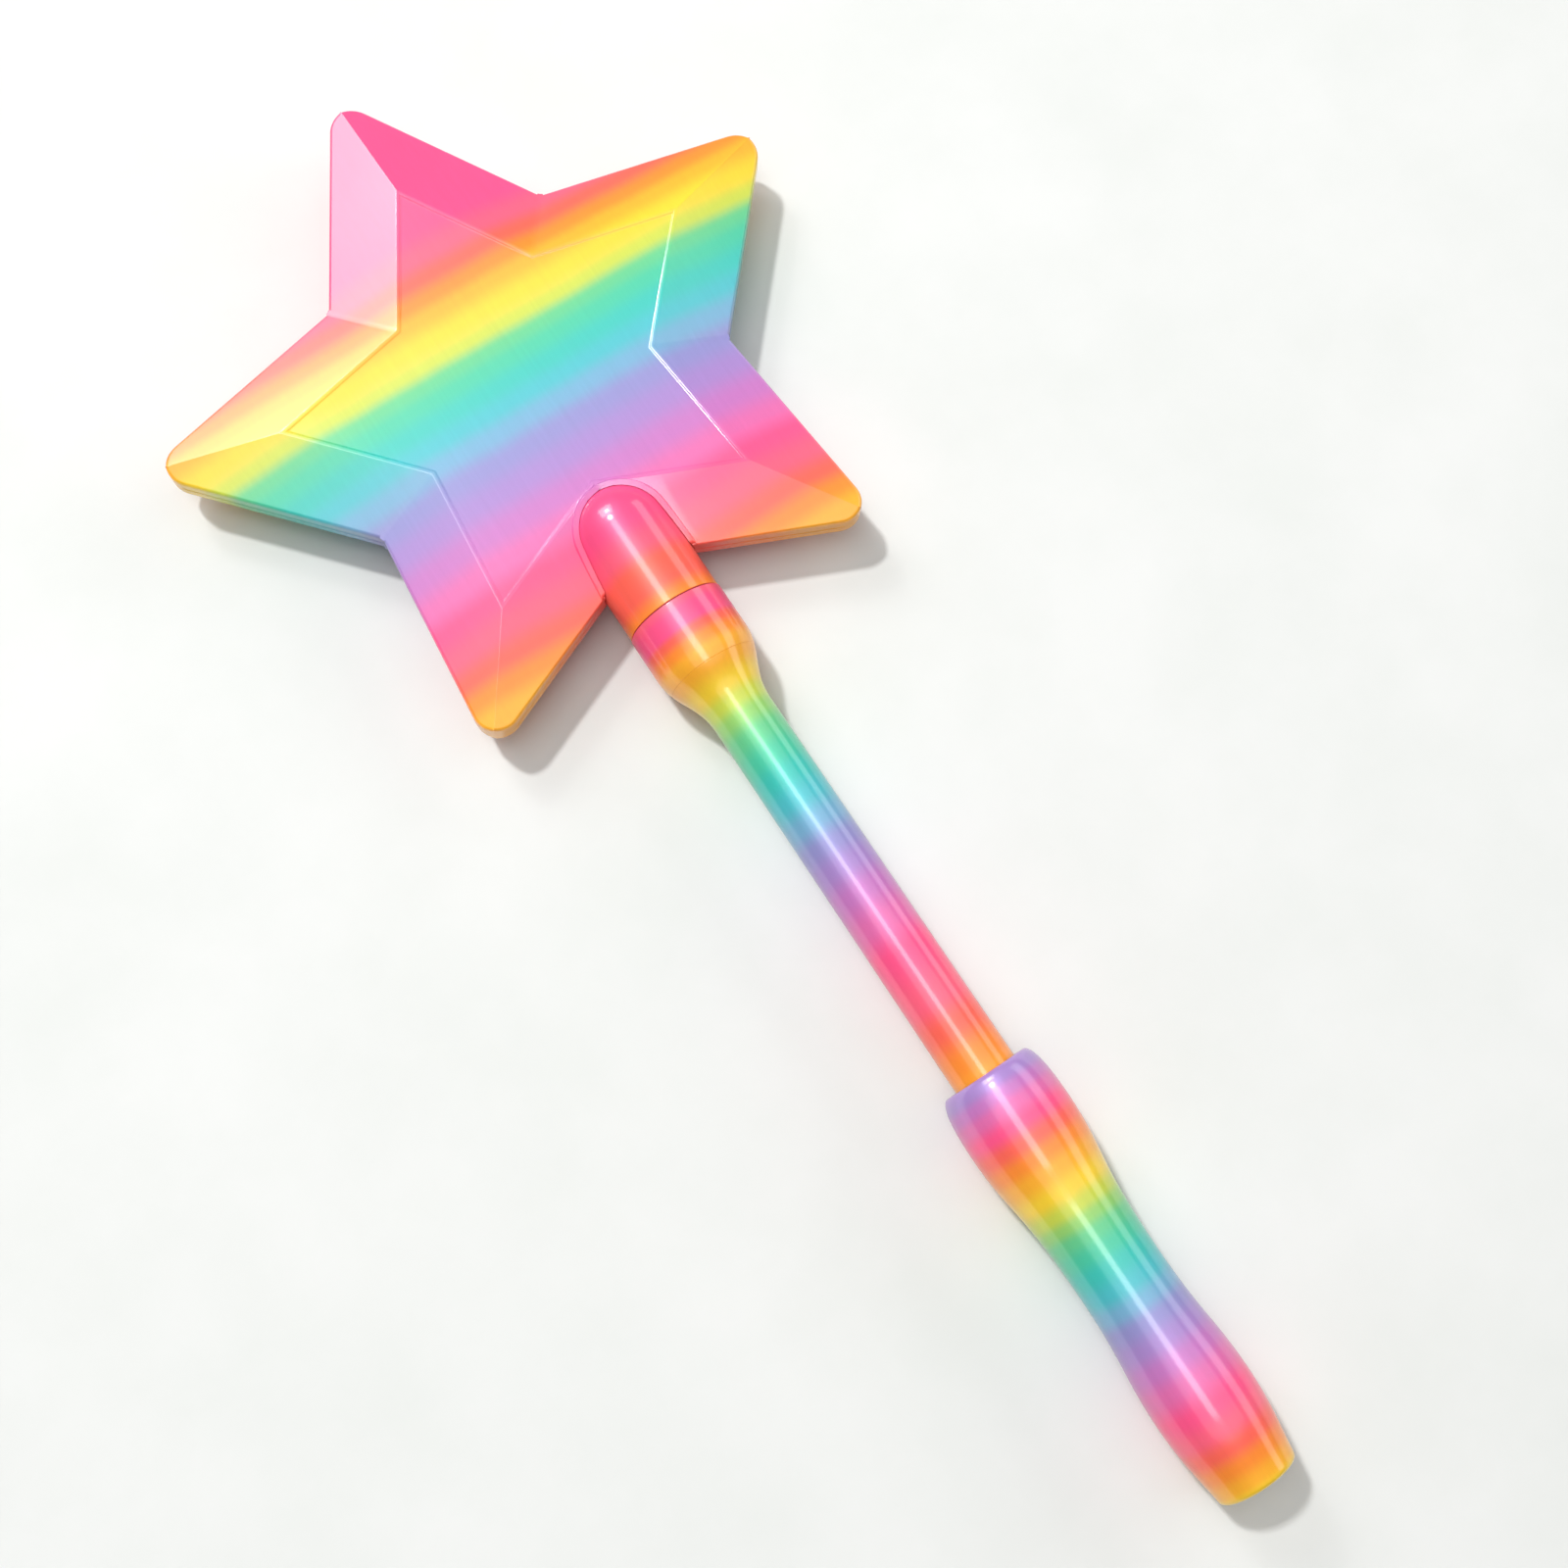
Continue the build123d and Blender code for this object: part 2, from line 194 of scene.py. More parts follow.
def new_piece(name: str) -> Piece:
    """Name the primitive that was just added, and put its place into its mesh.

    Args:
        name: The new object's name.

    Returns:
        The object, at the origin, unturned and unscaled.
    """
    piece = bpy.context.active_object
    piece.name = piece.data.name = name
    hold(piece)
    bpy.ops.object.transform_apply(location=True, rotation=True, scale=True)
    return piece


def apply_modifier(piece: Piece, kind: str, **settings: Any) -> None:
    """Add a modifier to a piece and apply it at once.

    Args:
        piece: The piece that is changed.
        kind: Blender's type name of the modifier.
        settings: The modifier's own settings.
    """
    hold(piece)
    bpy.ops.object.modifier_add(type=kind)
    modifier = piece.modifiers[-1]
    for key, value in settings.items():
        setattr(modifier, key, value)
    bpy.ops.object.modifier_apply(modifier=modifier.name)


def join(piece: Piece, tool: Piece, how: Join) -> None:
    """Join a tool solid to a piece, and remove the tool.

    Args:
        piece: The piece that is kept.
        tool: The solid that is added, cut away or intersected with it.
        how: Which of the three.
    """
    # the solver merges what lies too near for metres, so both are held in millimetres meanwhile
    for solid in (piece, tool):
        solid.data.transform(Matrix.Scale(1 / MM, 4))
    apply_modifier(piece, "BOOLEAN", operation=how.value, object=tool, solver="MANIFOLD")
    piece.data.transform(Matrix.Scale(MM, 4))
    bpy.data.objects.remove(tool)


def set_shading(piece: Piece, crease_degrees: float = TURNED_CREASE) -> None:
    """Smooth a piece between its creases, and let its large faces keep their own normals.

    Args:
        piece: The finished piece.
        crease_degrees: Edges sharper than this stay sharp.
    """
    hold(piece)
    bpy.ops.object.shade_smooth_by_angle(angle=math.radians(crease_degrees))
    apply_modifier(piece, "WEIGHTED_NORMAL", keep_sharp=True, weight=80)


# ---- turned forms


@dataclass(frozen=True)
class Corner:
    """A corner of a half section: radius, place along the axis, and how much it is rounded."""

    radius: float
    y: float
    rounding: float = 0.0


def rounded(corners: Sequence[Corner], steps: int = 4) -> Outline:
    """Work the rounds of an open line of corners into points.

    Args:
        corners: The corners in turn; the first and the last stay sharp.
        steps: Points on each round.

    Returns:
        Points as (radius, place along the axis).
    """
    points: Outline = []
    for i, corner in enumerate(corners):
        here = Vector((corner.radius, corner.y))
        if corner.rounding == 0.0:
            points.append((here.x, here.y))
            continue
        before = Vector((corners[i - 1].radius, corners[i - 1].y))
        after = Vector((corners[i + 1].radius, corners[i + 1].y))
        start = here + (before - here).normalized() * corner.rounding
        end = here + (after - here).normalized() * corner.rounding
        for k in range(steps + 1):
            s = k / steps
            point = start * (1 - s) ** 2 + here * 2 * s * (1 - s) + end * s**2
            points.append((point.x, point.y))
    return points


def bezier(
    start: tuple[float, float],
    leave: tuple[float, float],
    arrive: tuple[float, float],
    end: tuple[float, float],
    steps: int = 14,
) -> Outline:
    """Points on a cubic curve, its two ends included.

    Args:
        start: First point.
        leave: Handle that the curve leaves along.
        arrive: Handle that it arrives along.
        end: Last point.
        steps: Spans between the points.

    Returns:
        Points as (radius, place along the axis).
    """
    ends = [Vector(p) for p in (start, leave, arrive, end)]
    points: Outline = []
    for k in range(steps + 1):
        s = k / steps
        shares = ((1 - s) ** 3, 3 * s * (1 - s) ** 2, 3 * s**2 * (1 - s), s**3)
        point = sum((p * share for p, share in zip(ends, shares)), Vector((0, 0)))
        points.append((point.x, point.y))
    return points


def level_curve(
    start: tuple[float, float],
    leave: float,
    arrive: float,
    end: tuple[float, float],
) -> Outline:
    """Smooth change of radius along the axis that starts and ends level.

    Args:
        start: First point, as (radius, place).
        leave: Length of the first handle.
        arrive: Length of the second handle.
        end: Last point.

    Returns:
        Points as (radius, place along the axis).
    """
    way = math.copysign(1.0, end[1] - start[1])
    return bezier(
        start, (start[0], start[1] + way * leave), (end[0], end[1] - way * arrive), end
    )


def quarter_turn(steps: int) -> list[float]:
    """Angles in radians from nought to a right angle, both included, in equal steps."""
    return [k * math.pi / 2 / steps for k in range(steps + 1)]


def tidy_line(points: Outline) -> Outline:
    """Drop each point that falls on the one before it."""
    kept = points[:1]
    for point in points[1:]:
        if math.dist(point, kept[-1]) > 1e-4:
            kept.append(point)
    return kept


def turned(name: str, points: Outline, closed: bool = True) -> Piece:
    """Turn a half section about the stick's axis into a closed solid.

    Args:
        name: The new object's name.
        points: The half section, as (radius, place along the axis).
        closed: Whether the last point joins the first; if not, both lie on the axis.

    Returns:
        The solid, its faces looking outwards.
    """
    line = tidy_line(points)
    if closed:
        line.append(line[0])
    deselect_all()
    bpy.ops.mesh.primitive_plane_add(size=MM, location=at(line[0][0], line[0][1]))
    piece = new_piece(name)
    with editing(piece):
        whole_mesh()
        bpy.ops.mesh.merge(type="CENTER")
        for (r0, y0), (r1, y1) in zip(line, line[1:]):
            step = ((r1 - r0) * MM, (y1 - y0) * MM, 0.0)
            bpy.ops.mesh.extrude_vertices_move(TRANSFORM_OT_translate={"value": step})
        whole_mesh()
        bpy.ops.mesh.spin(
            steps=TURN_STEPS, angle=math.tau, center=at(0, 0), axis=(0.0, 1.0, 0.0)
        )
        whole_mesh()
        bpy.ops.mesh.remove_doubles(threshold=SAME_PLACE)
        bpy.ops.mesh.normals_make_consistent(inside=False)
    return piece


def upright(name: str, radius: float, low: float, high: float, x: float, y: float) -> Piece:
    """Round solid along Z.

    Args:
        name: The new object's name.
        radius: Its radius.
        low: Lower end, from the axis.
        high: Upper end.
        x: Its place across the wand.
        y: Its place along the wand.

    Returns:
        The solid.
    """
    deselect_all()
    bpy.ops.mesh.primitive_cylinder_add(
        vertices=UPRIGHT_SIDES, radius=radius * MM, depth=(high - low) * MM,
        location=at(x, y, (high + low) / 2),
    )
    return new_piece(name)


def block(name: str, low: Vector, high: Vector) -> Piece:
    """Box between two corners that are given in metres.

    Args:
        name: The new object's name.
        low: Its lowest corner.
        high: Its highest corner.

    Returns:
        The box.
    """
    deselect_all()
    bpy.ops.mesh.primitive_cube_add(size=1.0, location=(low + high) / 2, scale=high - low)
    return new_piece(name)


# ---- materials


def add_node(
    tree: Tree,
    kind: str,
    settings: dict[str, Any] | None = None,
    inputs: dict[str | int, Any] | None = None,
) -> bpy.types.Node:
    """Add a node with its settings, its constant inputs and its links.

    Args:
        tree: The material's node tree.
        kind: Blender's type name of the node.
        settings: Properties of the node itself.
        inputs: For each input, a constant or the output socket that feeds it.

    Returns:
        The node.
    """
    node = tree.nodes.new(kind)
    for key, value in (settings or {}).items():
        setattr(node, key, value)
    for key, value in (inputs or {}).items():
        if isinstance(value, bpy.types.NodeSocket):
            tree.links.new(value, node.inputs[key])
        else:
            node.inputs[key].default_value = value
    return node


def blank_material(name: str) -> tuple[bpy.types.Material, Tree, bpy.types.NodeSocket]:
    """New material, its otherwise empty node tree, and the place on the piece in that tree."""
    material = bpy.data.materials.new(name)
    material.use_nodes = True
    tree = material.node_tree
    tree.nodes.clear()
    return material, tree, add_node(tree, "ShaderNodeTexCoord").outputs["Object"]


def blend_tones(tree: Tree, share: bpy.types.NodeSocket, margin: float, *tones: str) -> Any:
    """Blend two tones by a pattern.

    Args:
        tree: The material's node tree.
        share: The pattern.
        margin: The pattern stays at the first tone up to here, and at the second from 1 less it.
        tones: The two tones, as sRGB hex.

    Returns:
        The blended colour's output.
    """
    ramp = add_node(tree, "ShaderNodeValToRGB", {}, {"Fac": share})
    for element, tone, spot in zip(ramp.color_ramp.elements, tones, (margin, 1 - margin)):
        element.position, element.color = spot, linear(tone)
    return ramp.outputs["Color"]


def lay_surface(
    tree: Tree, grain: bpy.types.NodeSocket, relief: tuple[float, float],
    gloss_from: bpy.types.NodeSocket, roughness: tuple[float, float], shader: dict[str, Any],
) -> None:
    """Finish a material: its relief, its uneven gloss, its shader and its output.

    Args:
        tree: The material's node tree.
        grain: Height of the relief.
        relief: Its strength, and its depth in millimetres.
        gloss_from: The pattern that the gloss follows.
        roughness: The roughness at the pattern's low end and at its high end.
        shader: The shader's other inputs.
    """
    gloss = add_node(
        tree, "ShaderNodeMapRange", {},
        {"Value": gloss_from, "From Min": 0.3, "From Max": 0.7,
         "To Min": roughness[0], "To Max": roughness[1]},
    )
    bump = add_node(
        tree, "ShaderNodeBump", {},
        {"Height": grain, "Strength": relief[0], "Distance": relief[1] * MM},
    )
    surface = add_node(
        tree, "ShaderNodeBsdfPrincipled", {},
        {"Roughness": gloss.outputs["Result"], "Normal": bump.outputs["Normal"], **shader},
    )
    add_node(tree, "ShaderNodeOutputMaterial", {}, {"Surface": surface.outputs["BSDF"]})


@dataclass(frozen=True)
class PearlPlastic:
    """Injection-moulded ABS with a pearl pigment, tinted in bands along the wand.

    The eye sees soft bands that run into each other, a silky gloss with a clear thin skin, fine
    flow streaks along the wand, and a very slight unevenness of the surface.
    """

    name: str
    stops: tuple[tuple[float, Tint], ...]    # place along the axis, and the tint there
    pearl: float = 0.15                      # share of light that the flakes throw back tinted
    roughness: float = 0.45
    streak_width: float = 1.1                # mm; real flow lines are finer
    wander: float = 1.2                      # mm that a band's edge wanders

    def build(self) -> bpy.types.Material:
        """Make the node material and return it."""
        material, tree, place = blank_material(self.name)
        cloud = add_node(
            tree, "ShaderNodeTexNoise", {"noise_dimensions": "3D"},
            {"Vector": place, "Scale": 1 / (22 * MM), "Detail": 2.0, "Roughness": 0.5},
        )
        along = add_node(
            tree, "ShaderNodeVectorMath", {"operation": "DOT_PRODUCT"},
            {0: place, 1: (0.0, 1.0, 0.0)},
        )
        wandered = add_node(
            tree, "ShaderNodeMath", {"operation": "MULTIPLY_ADD"},
            {0: cloud.outputs["Fac"], 1: self.wander * MM, 2: along.outputs["Value"]},
        )
        low, high = self.stops[0][0], self.stops[-1][0]
        share = add_node(
            tree, "ShaderNodeMapRange", {},
            {
                "Value": wandered.outputs["Value"],
                "From Min": (low + self.wander / 2) * MM,
                "From Max": (high + self.wander / 2) * MM,
            },
        )
        ramp = add_node(tree, "ShaderNodeValToRGB", {}, {"Fac": share.outputs["Result"]})
        ramp.color_ramp.interpolation = "EASE"
        elements = ramp.color_ramp.elements
        for _ in range(len(self.stops) - len(elements)):
            elements.new(0.5)
        for element, (spot, tint) in zip(elements, self.stops):
            element.position = (spot - low) / (high - low)
            element.color = linear(tint.value)
        # flow streaks along the wand, drawn a little coarser than they are so that they show
        stretched = add_node(
            tree, "ShaderNodeMapping", {},
            {"Vector": place, "Scale": (1.0, 0.04, 1.0)},
        )
        streaks = add_node(
            tree, "ShaderNodeTexNoise", {},
            {"Vector": stretched.outputs["Vector"], "Scale": 1 / (self.streak_width * MM),
             "Detail": 3.0, "Roughness": 0.6},
        )
        shade = add_node(
            tree, "ShaderNodeMapRange", {},
            {"Value": streaks.outputs["Fac"], "From Min": 0.3, "From Max": 0.7,
             "To Min": 0.975, "To Max": 1.025},
        )
        tinted = add_node(
            tree, "ShaderNodeVectorMath", {"operation": "SCALE"},
            {0: ramp.outputs["Color"], "Scale": shade.outputs["Result"]},
        )
        lay_surface(
            tree, streaks.outputs["Fac"], (0.10, 0.05),
            cloud.outputs["Fac"], (self.roughness - 0.03, self.roughness + 0.04),
            {
                "Base Color": tinted.outputs["Vector"],
                "IOR": 1.45,
                "Metallic": self.pearl,
                "Coat Weight": 0.65,
                "Coat Roughness": 0.13,
                "Coat IOR": 1.9,
            },
        )
        return material


@dataclass(frozen=True)
class PlainFinish:
    """A material of one colour with fine mottling, for the fittings inside the wand."""

    name: str
    colour: str
    dark: str
    roughness: float
    grain: float             # mm
    stretch: tuple[float, float, float] = (1.0, 1.0, 1.0)
    metallic: float = 0.0
    ior: float = 1.5
    relief: float = 0.02     # mm

    def build(self) -> bpy.types.Material:
        """Make the node material and return it."""
        material, tree, place = blank_material(self.name)
        stretched = add_node(
            tree, "ShaderNodeMapping", {}, {"Vector": place, "Scale": self.stretch}
        )
        mottle = add_node(
            tree, "ShaderNodeTexNoise", {},
            {"Vector": stretched.outputs["Vector"], "Scale": 1 / (self.grain * MM),
             "Detail": 4.0, "Roughness": 0.6},
        )
        colour = blend_tones(tree, mottle.outputs["Fac"], 0.3, self.dark, self.colour)
        lay_surface(
            tree, mottle.outputs["Fac"], (0.3, self.relief),
            mottle.outputs["Fac"], (self.roughness + 0.08, self.roughness - 0.04),
            {"Base Color": colour, "Metallic": self.metallic, "IOR": self.ior},
        )
        return material


def paint(piece: Piece, material: bpy.types.Material) -> None:
    """Give a piece one material and no other."""
    piece.data.materials.clear()
    piece.data.materials.append(material)


def dress(piece: Piece, material: bpy.types.Material, body: str, node: str) -> None:
    """Give a new piece its material and its body, and hide the CAD node that it replaces.

    Args:
        piece: The finished piece.
        material: Its material.
        body: The CAD body that it rides on.
        node: The CAD node that it replaces.
    """
    paint(piece, material)
    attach(piece, body)
    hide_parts(node)
    LOG.info("%s: %d faces, %s", piece.name, len(piece.data.polygons), material.name)


# ---- the star


@dataclass
class Star:
    """The hollow five-armed star: two half shells that close round the socket."""

    arms: int = 5
    tip_r: float = 90.0
    notch_r: float = 49.8
    tip_round: float = 5.6
    edge_half: float = 3.0
    rise: float = 4.5
    facet_width: float = 16.7
    wall: float = 1.8
    panel_lip: float = 0.7
    panel_step: float = 0.35
    panel_recess: float = 0.4
    panel_sink: float = 0.25      # the recess as it is drawn, a little shallower
    crease_round: float = 0.16
    valley_round: float = 0.9
    rim_round: float = 0.75
    rim_segments: int = 6
    parting_chamfer: float = 0.2
    socket_r: float = 11.95
    pocket_clearance: float = 0.15
    pocket_wall: float = 1.2
    pocket_lip: float = 0.75
    pocket_round: float = 0.35
    facet_cut: float = 1.0
    boss_r: float = 3.9
    counterbore_r: float = 2.6
    head_seat: float = 5.5
    screw_hole_r: float = 1.27
    screw_way_r: float = 1.35
    screw_depth: float = 4.6
    arm_screw_r: float = 46.0
    tang_half_width: float = 7.15
    tang_half_thickness: float = 2.65
    tang_length: float = 20.0
    tang_edge: float = 5.0
    tang_pitch: float = 9.0
    overlap: float = 0.4          # how far a boss reaches into the wall over it
    reach: float = 1.0            # how far a cutting solid reaches past what it cuts
    crease_degrees: float = 22.0

    def __post_init__(self) -> None:
        """Work out the star's angles, its centre and the screws' places."""
        notch_x = self.notch_r * math.sin(math.pi / self.arms)
        notch_y = self.notch_r * math.cos(math.pi / self.arms)
        self.tip_half_angle = math.atan2(notch_x, self.tip_r - notch_y)
        self.apothem = self.tip_r * math.sin(self.tip_half_angle)
        rounded_tip = self.tip_r - self.tip_round * (1 / math.sin(self.tip_half_angle) - 1)
        self.centre_y = node_span("star_front_shell")[1] - rounded_tip
        self.half = self.edge_half + self.rise
        self.socket_low, self.tang_end = node_span("head_socket")
        self.nose_centre = self.tang_end - self.tang_length - self.socket_r
        turns = [math.pi / 2 + k * math.tau / self.arms for k in range(self.arms)]
        self.screw_places = [
            (self.arm_screw_r * math.cos(a), self.centre_y + self.arm_screw_r * math.sin(a))
            for a in turns
        ]
        outer_hole = self.tang_end - self.tang_edge
        self.tang_places = [(0.0, outer_hole), (0.0, outer_hole - self.tang_pitch)]

    def centre(self, z: float = 0.0) -> Vector:
        """The star's centre, in metres, at a height over the middle plane."""
        return at(0, self.centre_y, z)

    def stacked(self, name: str, rings: Sequence[tuple[float, float]]) -> Piece:
        """Star-shaped solid built up ring by ring.

        Args:
            name: The new object's name.
            rings: For each ring, how far it lies inside the outline, and its height.

        Returns:
            The solid, with sharp tips.
        """
        deselect_all()
        bpy.ops.mesh.primitive_circle_add(
            vertices=2 * self.arms, radius=self.tip_r * MM, fill_type="NGON",
            location=self.centre(rings[0][1]),
        )
        piece = new_piece(name)
        middle = self.centre()

        def is_notch(vertex: bmesh.types.BMVert) -> bool:
            """Whether a corner of the circle is one that becomes a notch."""
            offset = vertex.co - middle
            turn = math.atan2(offset.x, offset.y) / (math.pi / self.arms)
            return round(turn) % 2 == 1

        def widen(factor: float) -> None:
            """Scale what is selected about the star's axis."""
            bpy.ops.transform.resize(value=(factor, factor, 1.0), center_override=middle)

        with editing(piece):
            pick(piece, Kind.VERTEX, is_notch)
            widen(self.notch_r / self.tip_r)
            whole_mesh()
            widen(1 - rings[0][0] / self.apothem)
            for (inset0, z0), (inset1, z1) in zip(rings, rings[1:]):
                bpy.ops.mesh.extrude_region_move(
                    TRANSFORM_OT_translate={"value": (0.0, 0.0, (z1 - z0) * MM)}
                )
                widen((self.apothem - inset1) / (self.apothem - inset0))
            whole_mesh()
            bpy.ops.mesh.normals_make_consistent(inside=False)
        return piece

    def prism(self, name: str, inset: float, low: float, high: float) -> Piece:
        """Upright star prism with round tips, which trims a sharp-tipped solid.

        Args:
            name: The new object's name.
            inset: How far it lies inside the star's outline.
            low: Its lower end.
            high: Its upper end.

        Returns:
            The prism.
        """
        piece = self.stacked(name, [(inset, low), (inset, high)])
        middle = self.centre()
        reach = (self.tip_r + self.notch_r) / 2 * MM * (1 - inset / self.apothem)

        def at_tip(edge: Edge) -> bool:
            """Whether an edge stands upright at a tip."""
            a, b = (vertex.co for vertex in edge.verts)
            upright_edge = abs(a.z - b.z) > abs(high - low) * MM / 2
            return upright_edge and (a.xy - middle.xy).length > reach

        # a bevel's round is drawn for a right angle; this profile brings it onto a true circle
        to_circle = (1 - 0.5 / (1 + math.sin(self.tip_half_angle))) ** 2
        with editing(piece):
            pick(piece, Kind.EDGE, at_tip)
            bpy.ops.mesh.bevel(
                offset=self.tip_round / math.tan(self.tip_half_angle) * MM,
                offset_type="OFFSET", segments=20, profile=to_circle, affect="EDGES",
                clamp_overlap=False,
            )
        return piece

    def body_rings(self, side: Side) -> list[tuple[float, float]]:
        """Rings of one half's outer form, from the parting plane up."""
        rings = [
            (self.parting_chamfer, 0.0),
            (0.0, self.parting_chamfer),
            (0.0, self.edge_half),
            (self.facet_width, self.half),
        ]
        if side is Side.FRONT:
            lip_end = self.facet_width + self.panel_lip
            rings += [
                (lip_end, self.half),
                (lip_end + self.panel_step, self.half - self.panel_sink),
            ]
        return rings

    def outer_form(self, side: Side) -> Piece:
        """Outer form of one half, its edges still sharp."""
        piece = self.stacked(f"star_{side.name.lower()}", self.body_rings(side))
        join(piece, self.prism("trim", 0.0, -self.reach, self.half + self.reach), Join.COMMON)
        return piece

    def soften(self, piece: Piece) -> None:
        """Round the ridges, the valleys, the panel's edges and the rim.

        Args:
            piece: One half shell, still facing up.
        """
        middle = self.centre()
        rim_z = AXIS_HEIGHT + self.edge_half
        top_z = AXIS_HEIGHT + self.half

        def climbs(edge: Edge) -> bool:
            """Whether an edge runs up the facets from the rim to the panel."""
            low, high = sorted(vertex.co.z / MM for vertex in edge.verts)
            return rim_z - 0.05 < low < rim_z + 1 and abs(high - top_z) < 0.05

        def is_arm(edge: Edge) -> bool:
            """Whether the lower end of an edge lies out at an arm's tip."""
            foot = min((vertex.co for vertex in edge.verts), key=lambda co: co.z)
            return (foot.xy - middle.xy).length / MM > self.tip_r * 0.8

        def is_crease(edge: Edge) -> bool:
            """Whether an edge is the ridge of an arm or runs level round the panel."""
            low, high = sorted(vertex.co.z / MM for vertex in edge.verts)
            level = high - low < 0.01 and top_z - self.panel_sink - 0.01 < low
            gentle = all(abs(face.normal.z) > 0.5 for face in edge.link_faces)
            turns = edge.calc_face_angle(0.0) > math.radians(5)
            return (climbs(edge) and is_arm(edge)) or (level and gentle and turns)

        def is_valley(edge: Edge) -> bool:
            """Whether an edge runs up a facet's valley, from a notch to the panel."""
            return climbs(edge) and not is_arm(edge)

        def is_rim(edge: Edge) -> bool:
            """Whether an edge parts the upright side from the facets."""
            tilts = sorted(abs(face.normal.z) for face in edge.link_faces)
            heights = [vertex.co.z / MM for vertex in edge.verts]
            at_rim = all(rim_z - 0.02 < height < rim_z + 0.9 for height in heights)
            return at_rim and tilts[0] < 0.05 and 0.9 < tilts[-1] < 0.99

        def is_lip(edge: Edge) -> bool:
            """Whether an edge runs along the top of the pocket's wall."""
            tilts = sorted(abs(face.normal.z) for face in edge.link_faces)
            reaches = [
                math.hypot(vertex.co.x / MM, max(0.0, vertex.co.y / MM - self.nose_centre))
                for vertex in edge.verts
            ]
            inner_r = self.socket_r + self.pocket_clearance
            near = all(inner_r - 0.1 < r < inner_r + self.pocket_wall + 0.1 for r in reaches)
            high = all(vertex.co.z / MM > rim_z + 0.7 for vertex in edge.verts)
            return near and high and edge.is_convex and tilts[0] < 0.3 and tilts[-1] > 0.9

        with editing(piece):
            for wanted, size, segments in (
                (is_lip, self.pocket_round, 3),
                (is_crease, self.crease_round, 3),
                (is_valley, self.valley_round, 4),
                (is_rim, self.rim_round, self.rim_segments),
            ):
                pick(piece, Kind.EDGE, wanted)
                bpy.ops.mesh.bevel(
                    offset=size * MM, segments=segments, affect="EDGES",
                    clamp_overlap=False,
                )

    def capsule(self, name: str, radius: float) -> Piece:
        """Barrel with a round nose, about the stick's axis.

        Args:
            name: The new object's name.
            radius: Its radius.

        Returns:
            The solid.
        """
        quarter = [
            (radius * math.cos(a), self.nose_centre + radius * math.sin(a))
            for a in quarter_turn(18)
        ]
        quarter[-1] = (0.0, self.nose_centre + radius)
        low = self.socket_low - self.reach
        return turned(name, [(0.0, low), (radius, low), *quarter], closed=False)

    def pocket_rim(self) -> Piece:
        """Wall of the pocket round the socket, a little proud of the facets."""
        inner_r = self.socket_r + self.pocket_clearance
        piece = self.capsule("pocket_rim", inner_r + self.pocket_wall)
        raised = [
            (inset, z + (self.pocket_lip if z > 1 else 0.0)) for inset, z in
            ((0.3, 0.0), (0.3, self.edge_half), (self.facet_width, self.half))
        ]
        join(piece, self.stacked("raised", raised), Join.COMMON)
        join(piece, self.capsule("socket_way", inner_r), Join.CUT)
        return piece

    def build(self, side: Side) -> Piece:
        """One half shell: outer form, cavity, pocket, bosses and screw holes.

        Args:
            side: Which half.

        Returns:
            The finished half shell.
        """
        piece = self.outer_form(side)
        ceiling = self.half - self.panel_recess - self.wall
        slope = self.rise / self.facet_width
        cavity = self.stacked(
            "cavity",
            [
                (self.wall, -self.reach),
                (self.wall, self.edge_half + slope * self.wall - self.wall),
                (self.facet_width, ceiling),
            ],
        )
        trim = self.prism("trim", self.wall, -2 * self.reach, ceiling + self.reach)
        join(cavity, trim, Join.COMMON)
        join(piece, cavity, Join.CUT)
        inner_r = self.socket_r + self.pocket_clearance
        join(piece, self.capsule("socket_way", inner_r + 0.2), Join.CUT)
        join(piece, self.pocket_rim(), Join.ADD)
        over_tang = self.tang_half_thickness - self.pocket_clearance
        for low, places in ((0.0, self.screw_places), (over_tang, self.tang_places)):
            for x, y in places:
                boss = upright("boss", self.boss_r, low, ceiling + self.overlap, x, y)
                join(piece, boss, Join.ADD)
        slot = block(
            "tang_way",
            at(-self.tang_half_width, self.nose_centre, -self.reach),
            at(
                self.tang_half_width, self.tang_end + self.pocket_clearance,
                self.tang_half_thickness,
            ),
        )
        join(piece, slot, Join.CUT)
        hole_r, depth = self.screw_hole_r, self.screw_depth
        if side is Side.BACK:
            hole_r, depth = self.screw_way_r, self.half + self.reach
        for x, y in self.screw_places + self.tang_places:
            join(piece, upright("hole", hole_r, -self.reach, depth, x, y), Join.CUT)
            if side is Side.BACK:
                bore = upright("bore", self.counterbore_r, self.head_seat, depth, x, y)
                join(piece, bore, Join.CUT)
        self.soften(piece)
        # facets parted beside the pocket, so that its corners don't disturb their shading
        beside = inner_r + self.pocket_wall + self.facet_cut
        with editing(piece):
            for x in (-beside, beside):
                whole_mesh()
                bpy.ops.mesh.bisect(
                    plane_co=at(x, 0), plane_no=(1.0, 0.0, 0.0), threshold=SAME_PLACE / 10
                )
            whole_mesh()
            bpy.ops.mesh.quads_convert_to_tris()
            if side is Side.BACK:
                bpy.ops.transform.resize(value=(1.0, 1.0, -1.0), center_override=self.centre())
            bpy.ops.mesh.remove_doubles(threshold=2 * SAME_PLACE)
            bpy.ops.mesh.normals_make_consistent(inside=False)
        set_shading(piece, self.crease_degrees)
        return piece

